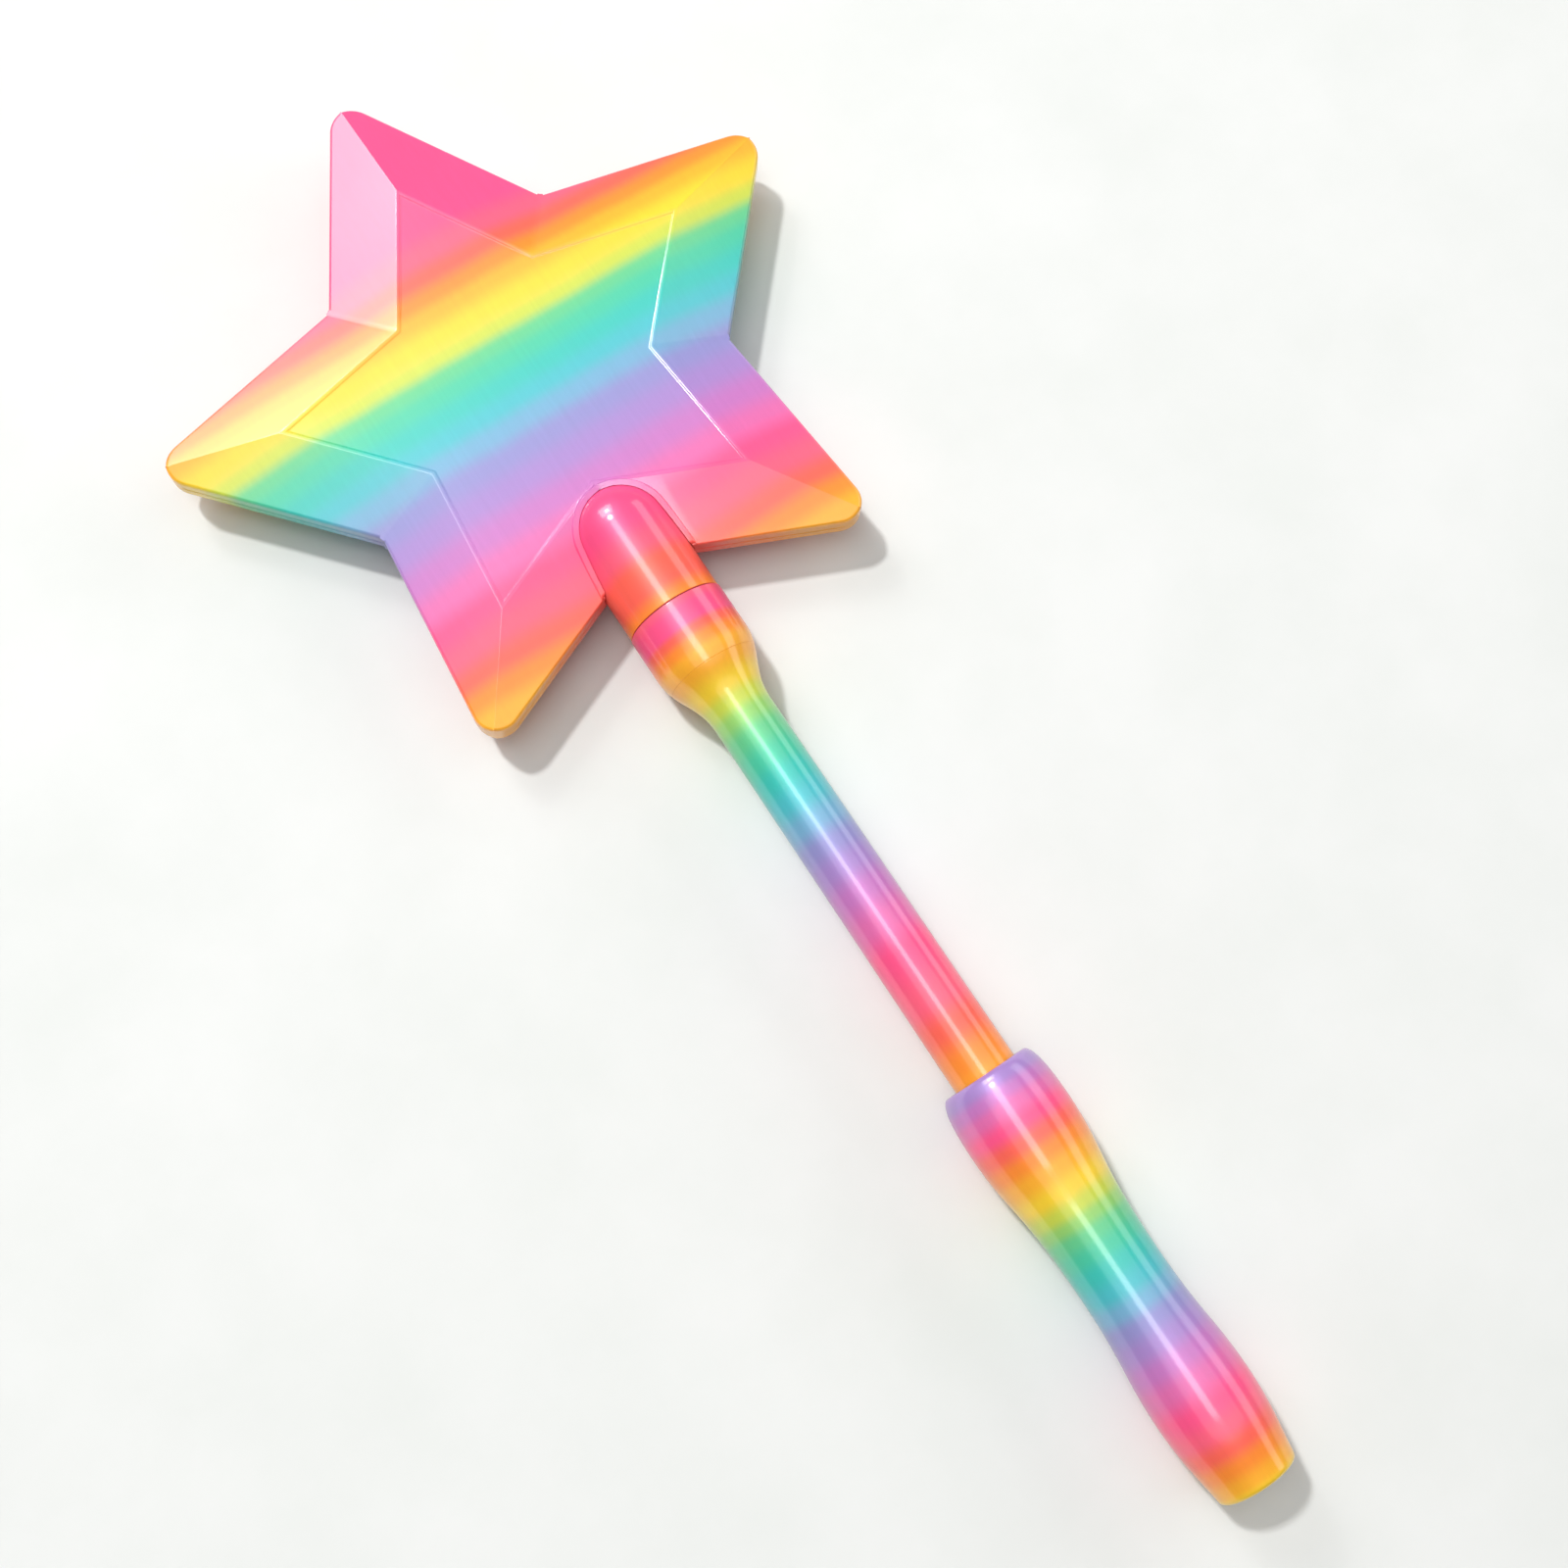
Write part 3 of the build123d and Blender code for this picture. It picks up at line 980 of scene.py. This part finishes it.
    def dress(self) -> None:
        """Build both halves and give them their finish."""
        finish = PearlPlastic(
            "pearl_abs_star",
            (
                (38, Tint.AMBER), (43, Tint.ORANGE), (48, Tint.CORAL), (54, Tint.PINK),
                (61, Tint.HOT_PINK), (67, Tint.ROSE), (74, Tint.ORCHID), (82, Tint.LILAC),
                (89, Tint.PERIWINKLE), (95, Tint.SKY), (100, Tint.AQUA), (105, Tint.TEAL),
                (110, Tint.MINT), (114, Tint.GREEN), (118, Tint.LIME), (123, Tint.YELLOW),
                (129, Tint.AMBER), (133, Tint.ORANGE), (138, Tint.CORAL), (143, Tint.PINK),
                (150, Tint.HOT_PINK), (188, Tint.HOT_PINK),
            ),
            pearl=0.0,
        ).build()
        for side in Side:
            piece = self.build(side)
            dress(piece, finish, "head", f"{piece.name}_shell")


# ---- socket


@dataclass
class HeadSocket:
    """Round socket with a domed nose and the tang that the star is screwed to."""

    radius: float = 11.95
    barrel: float = 22.9
    bush_r: float = 8.55
    bush_length: float = 20.0
    chamber_r: float = 7.6
    chamber_length: float = 8.0
    mouth_round: float = 0.15
    mouth_drop: float = 0.12
    tang_half_width: float = 7.0
    tang_half_thickness: float = 2.5
    tang_round: float = 0.6
    tang_edge: float = 5.0
    tang_pitch: float = 9.0
    hole_r: float = 1.35

    def build(self) -> Piece:
        """Turn the socket, add its tang and drill it."""
        low, tang_end = node_span("head_socket")
        nose = low + self.barrel
        bush_end = low + self.bush_length
        chamber_end = bush_end + self.chamber_length
        dome = [
            (self.radius * math.cos(a), nose + self.radius * math.sin(a))
            for a in quarter_turn(20)[:-1]
        ]
        line = rounded([
            Corner(self.bush_r, low - self.mouth_drop),
            Corner(self.radius, low - self.mouth_drop, self.mouth_round),
            Corner(self.radius, nose),
        ])
        line += dome + [
            (0.0, nose + self.radius), (0.0, chamber_end), (self.chamber_r, chamber_end),
            (self.chamber_r, bush_end), (self.bush_r, bush_end),
        ]
        piece = turned("socket", line)
        tang = block(
            "tang",
            at(-self.tang_half_width, chamber_end + 0.5, -self.tang_half_thickness),
            at(self.tang_half_width, tang_end, self.tang_half_thickness),
        )

        def touches_end(edge: Edge) -> bool:
            """Whether an edge reaches the tang's far end."""
            return max(vertex.co.y for vertex in edge.verts) > (tang_end - 0.01) * MM

        with editing(tang):
            pick(tang, Kind.EDGE, touches_end)
            bpy.ops.mesh.bevel(offset=self.tang_round * MM, segments=3, affect="EDGES")
        join(piece, tang, Join.ADD)
        for place in (tang_end - self.tang_edge, tang_end - self.tang_edge - self.tang_pitch):
            join(piece, upright("hole", self.hole_r, -4.0, 4.0, 0.0, place), Join.CUT)
        set_shading(piece)
        return piece

    def dress(self) -> None:
        """Build the socket and give it its finish."""
        finish = PearlPlastic(
            "pearl_abs_socket",
            (
                (38, Tint.ORANGE), (43, Tint.CORAL), (48, Tint.CORAL), (53, Tint.PINK),
                (60, Tint.HOT_PINK), (75, Tint.HOT_PINK), (90, Tint.ROSE),
            ),
        ).build()
        dress(self.build(), finish, "head", "head_socket")


# ---- collar and stick


@dataclass
class Stick:
    """The collar, and the flared tube below it that slides in the grip."""

    collar_r: float = 12.15
    collar_edge: float = 0.15
    collar_rise: float = 0.12     # the groove at the swivel is drawn a little narrower
    shoulder: float = 4.8
    flare_leave: float = 6.5
    flare_arrive: float = 8.0
    top_r: float = 7.4
    mouth_r: float = 7.65
    flare_length: float = 12.7
    spigot_r: float = 8.0
    spindle_r: float = 6.02
    spindle_depth: float = 18.0
    bore_r: float = 5.4
    seam_round: float = 0.12
    spigot_play: float = 0.02
    tail_round: float = 0.3

    def flare(self, seam: float) -> tuple[Outline, Outline]:
        """Outer line from the collar's shoulder to the stick, parted at the seam.

        Args:
            seam: Place of the seam between collar and flare.

        Returns:
            The line above the seam and the line below it, both from top to bottom.
        """
        line = level_curve(
            (self.collar_r, seam + self.shoulder), self.flare_leave,
            self.flare_arrive, (self.top_r, seam - self.flare_length),
        )
        above = [point for point in line if point[1] > seam]
        below = [point for point in line if point[1] < seam]
        (r0, y0), (r1, y1) = above[-1], below[0]
        meeting = (r0 + (r1 - r0) * (seam - y0) / (y1 - y0), seam)
        return [*above, meeting], [meeting, *below]

    def dress(self) -> None:
        """Build the collar and the stick, and give them their finishes."""
        seam, top = node_span("collar_ring")
        above, below = self.flare(seam)
        seam_r = above[-1][0]
        inner_r = self.spigot_r + self.spigot_play
        collar = turned("collar", [
            (inner_r, seam),
            *rounded([
                Corner(inner_r, seam),
                Corner(seam_r, seam, self.seam_round),
                Corner(*above[-2]),
            ])[1:-1],
            *reversed(above[:-1]),
            *rounded([
                Corner(self.collar_r, seam + self.shoulder),
                Corner(self.collar_r, top + self.collar_rise, self.collar_edge),
                Corner(inner_r, top + self.collar_rise),
            ])[1:],
        ])
        set_shading(collar)
        finish = PearlPlastic(
            "pearl_abs_collar",
            (
                (21, Tint.AMBER), (24, Tint.AMBER), (27, Tint.ORANGE), (30, Tint.CORAL),
                (32, Tint.HOT_PINK), (35, Tint.HOT_PINK), (38, Tint.PINK),
            ),
        ).build()
        dress(collar, finish, "stick", "collar_ring")

        mouth = node_span("grip_shell")[1]
        tail = node_span("flared_shaft")[0]
        spindle_low = top - self.spindle_depth
        stick = turned("stick", [
            (self.spindle_r, top),
            (self.spigot_r, top),
            (self.spigot_r, seam),
            *rounded([
                Corner(self.spigot_r, seam),
                Corner(seam_r, seam, self.seam_round),
                Corner(*below[1]),
            ])[1:-1],
            *below[1:],
            (self.mouth_r, mouth),
            *rounded([
                Corner(self.mouth_r, mouth),
                Corner(self.mouth_r, tail, self.tail_round),
                Corner(self.bore_r, tail),
            ])[1:],
            (self.bore_r, spindle_low),
            (self.spindle_r, spindle_low),
        ])
        set_shading(stick)
        finish = PearlPlastic(
            "pearl_abs_stick",
            (
                (-100, Tint.YELLOW), (-91, Tint.AMBER), (-83, Tint.ORANGE), (-75, Tint.CORAL),
                (-68, Tint.PINK), (-56, Tint.HOT_PINK), (-48, Tint.ROSE), (-40, Tint.ORCHID),
                (-33, Tint.LILAC), (-27, Tint.PERIWINKLE), (-21, Tint.SKY), (-15, Tint.AQUA),
                (-9, Tint.TEAL), (-3, Tint.MINT), (3, Tint.GREEN), (8, Tint.LEAF),
                (12, Tint.LIME), (16, Tint.YELLOW), (21, Tint.AMBER), (38, Tint.AMBER),
            ),
        ).build()
        dress(stick, finish, "stick", "flared_shaft")


# ---- grip


@dataclass
class Grip:
    """Waisted handle with its mouth bush and its butt cap."""

    mouth_r: float = 10.3
    mouth_round: float = 0.25
    belly_r: float = 12.7
    belly_at: float = 13.2
    waist_r: float = 9.95
    waist_at: float = 51.2
    rear_r: float = 11.6
    rear_at: float = 80.7
    butt_r: float = 9.6
    butt_round: float = 1.2
    bore_r: float = 8.75
    bush_out_r: float = 9.3
    bush_in_r: float = 7.75
    bush_length: float = 11.9
    bush_chamfer: float = 0.5
    plug_r: float = 7.2
    plug_length: float = 9.0
    rim_r: float = 8.0
    rim_thickness: float = 1.6
    cap_chamfer: float = 0.4
    cap_play: float = 0.03
    cap_gap: float = 0.02
    belly_leave: float = 14.5     # handles along the axis of the curves between the swells
    waist_arrive: float = 24.5
    waist_leave: float = 16.0
    rear_arrive: float = 12.0

    def outer_line(self, butt: float, mouth: float) -> Outline:
        """The handle's outer line, from its mouth to the butt's flat face."""
        belly = (self.belly_r, mouth - self.belly_at)
        waist = (self.waist_r, mouth - self.waist_at)
        rear = (self.rear_r, mouth - self.rear_at)
        corner = (self.butt_r, butt + self.butt_round)
        flat_r = self.butt_r - self.butt_round
        first = bezier(
            (self.mouth_r, mouth), (self.mouth_r + 1.7, mouth - 1.0),
            (self.belly_r, mouth - 5.4), belly,
        )
        lead = rounded([
            Corner(self.bush_out_r, mouth),
            Corner(self.mouth_r, mouth, self.mouth_round),
            Corner(*first[1]),
        ])[1:-1]
        return [
            *lead,
            *first[1:],
            *level_curve(belly, self.belly_leave, self.waist_arrive, waist)[1:],
            *level_curve(waist, self.waist_leave, self.rear_arrive, rear)[1:],
            *bezier(
                rear, (self.rear_r, rear[1] - 9.0), (self.butt_r + 0.6, corner[1] + 5.0), corner
            )[1:],
            *bezier(
                corner, (self.butt_r - 0.1, butt + 0.2), (flat_r + 0.3, butt), (flat_r, butt), 6
            )[1:],
        ]

    def dress(self) -> None:
        """Build the handle, the bush and the cap, and give them their finishes."""
        butt, mouth = node_span("grip_shell")
        plug_end = butt + self.rim_thickness + self.plug_length
        bush_low = mouth - self.bush_length
        handle = turned("grip", [
            (self.bush_out_r, mouth),
            *self.outer_line(butt, mouth),
            (self.rim_r, butt),
            (self.rim_r, butt + self.rim_thickness),
            (self.plug_r, butt + self.rim_thickness),
            (self.plug_r, plug_end),
            (self.bore_r, plug_end),
            (self.bore_r, bush_low),
            (self.bush_out_r, bush_low),
        ])
        set_shading(handle)
        finish = PearlPlastic(
            "pearl_abs_grip",
            (
                (-189, Tint.YELLOW), (-186, Tint.AMBER), (-182, Tint.ORANGE),
                (-178, Tint.CORAL), (-174, Tint.PINK), (-169, Tint.HOT_PINK),
                (-163, Tint.ROSE), (-158, Tint.ORCHID), (-153, Tint.LILAC),
                (-148, Tint.PERIWINKLE), (-144, Tint.SKY), (-140, Tint.AQUA),
                (-135, Tint.TEAL), (-131, Tint.MINT), (-127, Tint.GREEN), (-124, Tint.LEAF),
                (-121, Tint.LIME), (-117, Tint.YELLOW), (-112, Tint.AMBER),
                (-108, Tint.ORANGE), (-104, Tint.CORAL), (-100, Tint.HOT_PINK),
                (-96, Tint.ROSE), (-93, Tint.ORCHID), (-90, Tint.LILAC), (-87, Tint.LILAC),
            ),
        ).build()
        dress(handle, finish, "grip", "grip_shell")

        bush_r = self.bush_out_r - self.cap_play
        bush = turned("grip_mouth", [
            (self.bush_in_r, bush_low),
            (bush_r, bush_low),
            (bush_r, mouth),
            (self.bush_in_r + self.bush_chamfer, mouth),
            (self.bush_in_r, mouth - self.bush_chamfer),
        ])
        set_shading(bush)
        lilac = PearlPlastic(
            "pearl_abs_mouth", ((-101, Tint.LILAC), (-88, Tint.LILAC), (-87, Tint.LILAC)),
        ).build()
        dress(bush, lilac, "grip", "mouth_bush")

        rim_r, plug_r = self.rim_r - self.cap_play, self.plug_r - self.cap_play
        step = butt + self.rim_thickness - self.cap_gap
        cap = turned("butt", [
            *rounded([
                Corner(0.0, butt),
                Corner(rim_r, butt, self.cap_chamfer),
                Corner(rim_r, step),
            ]),
            (plug_r, step),
            (plug_r, plug_end),
            (0.0, plug_end),
        ], closed=False)
        set_shading(cap)
        yellow = PearlPlastic(
            "pearl_abs_butt", ((-189, Tint.YELLOW), (-187, Tint.YELLOW), (-178, Tint.AMBER)),
        ).build()
        dress(cap, yellow, "grip", "butt_cap")


# ---- fittings


@dataclass
class Fittings:
    """The small parts that keep their CAD shapes: screws, bearing, clip, washer and stop."""

    acetal: tuple[str, ...] = ("swivel_bush", "swivel_spindle", "tail_stop")
    steel: tuple[str, ...] = ("shell_screws", "spindle_clip")
    nylon: tuple[str, ...] = ("thrust_washer",)
    rubber: tuple[str, ...] = ("tail_o_ring",)

    def dress(self) -> None:
        """Give each fitting the finish of what it is made of."""
        finishes = (
            # turned acetal is creamy and waxy, with faint tool rings
            (self.acetal, PlainFinish("turned_acetal", "#EDEAE0", "#DEDACD", 0.38, 1.2,
                                      (1.0, 6.0, 1.0), ior=1.48)),
            # zinc plate on steel is a cool grey with cloudy patches
            (self.steel, PlainFinish("zinc_plated_steel", "#C9CDD2", "#9BA0A8", 0.30, 0.8,
                                     metallic=1.0)),
            # moulded nylon is dull and faintly mottled; the washer's dusty red is darker than the
            # pieces beside it and paints the shade in the groove at the swivel
            (self.nylon, PlainFinish("nylon_washer_and_groove_shade", "#B04A58", "#96404C", 0.5, 1.0, ior=1.53)),
            # nitrile rubber is nearly black with a dusty bloom
            (self.rubber, PlainFinish("nitrile_rubber", "#26262A", "#17171A", 0.62, 0.9,
                                      ior=1.52)),
        )
        for nodes, finish in finishes:
            material = finish.build()
            for node in nodes:
                paint(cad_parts[node], material)
                LOG.info("%s: CAD shape, %s", node, material.name)


# ---- studio


@dataclass
class Lamp:
    """An area light: which way it lies from the wand's middle, how far, how large, how strong."""

    name: str
    direction: tuple[float, float, float]
    distance: float
    width: float
    length: float
    power: float


def stand(name: str, data: Any, place: Vector, back: Vector, up: Vector) -> Piece:
    """Stand a lamp or camera in the studio.

    Args:
        name: The new object's name.
        data: The lamp or camera.
        place: Where it stands, in metres.
        back: The way from what it looks at towards it.
        up: Roughly the way that its upper side faces.

    Returns:
        Its object.
    """
    holder = bpy.data.objects.new(name, data)
    bpy.context.scene.collection.objects.link(holder)
    across = up.cross(back).normalized()
    turn = Matrix((across, back.cross(across), back)).transposed().to_4x4()
    holder.matrix_world = Matrix.Translation(place) @ turn
    return holder


@dataclass
class Studio:
    """Pale floor, soft light and the camera."""

    floor_size: float = 6.0
    floor_colour: str = "#DBDCDA"
    floor_mottle: str = "#D6D8D5"
    world_colour: str = "#FAFBFA"
    world_strength: float = 0.10
    camera_place: tuple[float, float, float] = (-69.48, -83.82, 428.77)
    camera_aim: tuple[float, float, float] = (0.97, -6.92, 0.0)
    camera_up: tuple[float, float, float] = (0.527, 0.8173, 0.2332)
    field_of_view: float = 45.0
    lamps: tuple[Lamp, ...] = (
        Lamp("key", (-0.149, 0.489, 0.857), 3.0, 0.20, 0.20, 54.0),
        Lamp("high_box", (-0.124, 0.761, 0.638), 1.5, 0.64, 0.58, 5.4),
        Lamp("high_core", (-0.094, 0.740, 0.666), 1.45, 0.16, 0.16, 1.5),
        Lamp("overhead_box", (-0.156, 0.0, 0.988), 1.5, 0.38, 1.21, 5.4),
        Lamp("wide_box", (0.0, -0.105, 0.994), 1.5, 2.5, 1.4, 8.6),
        Lamp("right_box", (0.883, 0.0, 0.469), 1.5, 0.53, 2.1, 6.0),
    )

    def lay_floor(self) -> None:
        """A large matt board, a little mottled, that the wand lies on."""
        deselect_all()
        bpy.ops.mesh.primitive_plane_add(size=self.floor_size, location=(0, 0, 0))
        floor = new_piece("floor")
        material, tree, place = blank_material("painted_board")
        mottle = add_node(
            tree, "ShaderNodeTexNoise", {},
            {"Vector": place, "Scale": 1 / (60 * MM), "Detail": 5.0, "Roughness": 0.6},
        )
        colour = blend_tones(
            tree, mottle.outputs["Fac"], 0.35, self.floor_mottle, self.floor_colour
        )
        surface = add_node(
            tree, "ShaderNodeBsdfPrincipled", {},
            {"Base Color": colour, "Roughness": 0.85, "IOR": 1.4},
        )
        add_node(tree, "ShaderNodeOutputMaterial", {}, {"Surface": surface.outputs["BSDF"]})
        paint(floor, material)

    def hang_lamps(self) -> None:
        """Hang the area lights, each with its long side along the wand, and light the world."""
        middle = at(0, 0)
        for lamp in self.lamps:
            light = bpy.data.lights.new(lamp.name, "AREA")
            light.shape = "RECTANGLE"
            light.size, light.size_y = lamp.width, lamp.length
            light.energy = lamp.power
            back = Vector(lamp.direction).normalized()
            place = middle + back * lamp.distance
            stand(lamp.name, light, place, back, Vector((0.0, 1.0, 0.0)))
        world = bpy.data.worlds.new("studio")
        world.use_nodes = True
        shade = world.node_tree.nodes["Background"]
        shade.inputs["Color"].default_value = linear(self.world_colour)
        shade.inputs["Strength"].default_value = self.world_strength
        bpy.context.scene.world = world

    def set_camera(self) -> None:
        """Put the camera at its place, level with its aim, and make it the scene's."""
        data = bpy.data.cameras.new("camera")
        data.sensor_fit = "HORIZONTAL"
        data.angle = math.radians(self.field_of_view)
        data.clip_start, data.clip_end = 0.01, 20.0
        place = Vector(self.camera_place) * MM
        back = (place - Vector(self.camera_aim) * MM).normalized()
        bpy.context.scene.camera = stand("camera", data, place, back, Vector(self.camera_up))

    def set_up(self) -> None:
        """Floor, lights, camera and plain colour handling."""
        self.lay_floor()
        self.hang_lamps()
        self.set_camera()
        view = bpy.context.scene.view_settings
        view.view_transform = "Standard"
        view.look = "None"


def main() -> None:
    """Build the wand from head to butt, then the studio."""
    logging.basicConfig(level=logging.INFO, format="%(name)s: %(message)s")
    Star().dress()
    HeadSocket().dress()
    Stick().dress()
    Grip().dress()
    Fittings().dress()
    Studio().set_up()


if __name__ == "__main__":
    main()
